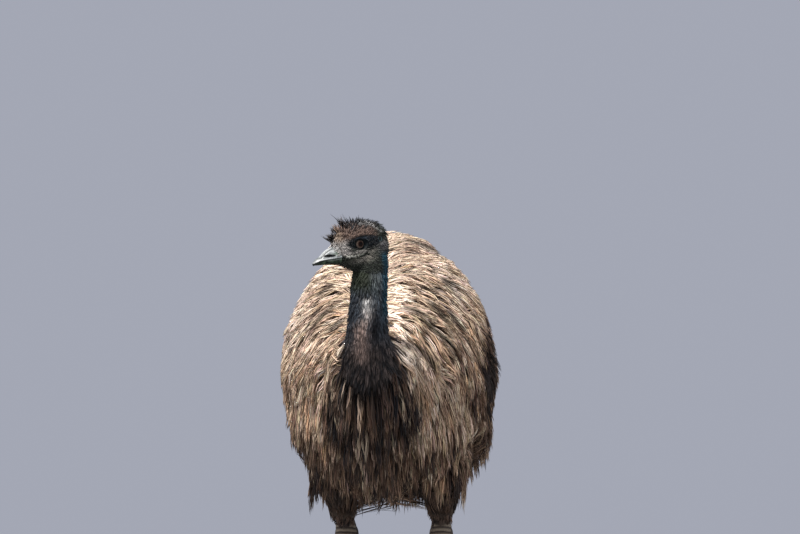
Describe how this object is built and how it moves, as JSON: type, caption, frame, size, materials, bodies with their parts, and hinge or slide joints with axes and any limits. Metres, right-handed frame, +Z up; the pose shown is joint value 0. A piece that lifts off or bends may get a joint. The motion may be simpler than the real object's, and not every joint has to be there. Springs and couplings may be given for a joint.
{
  "type": "emu",
  "caption": "Life-size still emu, standing on both feet with its neck drawn up and its head turned to its right, with shaggy brown plumage.",
  "frame": {"origin": "on the floor, under the middle of the bird's length and width", "axes": "+Z up, the bird faces -Y, +X to its left"},
  "size_m": [0.4648, 1.2428, 1.0828],
  "materials": {
    "plumage": "shaggy double-shafted feathers, tan to dark brown, matte",
    "neck_plumage": "short hair-like feathers, charcoal to black, matte",
    "bill": "horn, pale grey ridge over a dark edge, satin",
    "eye": "wet, dark red-brown iris",
    "skin": "bare blue-grey skin",
    "leg_scale": "grey-brown scutes and small scales",
    "claw": "dark horn, worn at the tip"
  },
  "bodies": {
    "root": {"tail": "plumage", "rump": "plumage", "trunk": "plumage", "breast": "plumage", "neck_lower": "neck_plumage", "neck_middle": "neck_plumage", "neck_upper": "neck_plumage", "head": "neck_plumage", "bill_upper": "bill", "bill_lower": "bill", "eye_left": "eye", "ear_left": "skin", "wing_left": "plumage", "thigh_left": "plumage", "shank_left": "leg_scale", "tarsus_left": "leg_scale", "foot_left": "leg_scale", "toe_inner_left": "leg_scale", "claw_inner_left": "claw", "toe_middle_left": "leg_scale", "claw_middle_left": "claw", "toe_outer_left": "leg_scale", "claw_outer_left": "claw", "eye_right": "eye", "ear_right": "skin", "wing_right": "plumage", "thigh_right": "plumage", "shank_right": "leg_scale", "tarsus_right": "leg_scale", "foot_right": "leg_scale", "toe_inner_right": "leg_scale", "claw_inner_right": "claw", "toe_middle_right": "leg_scale", "claw_middle_right": "claw", "toe_outer_right": "leg_scale", "claw_outer_right": "claw"}
  },
  "joints": []
}
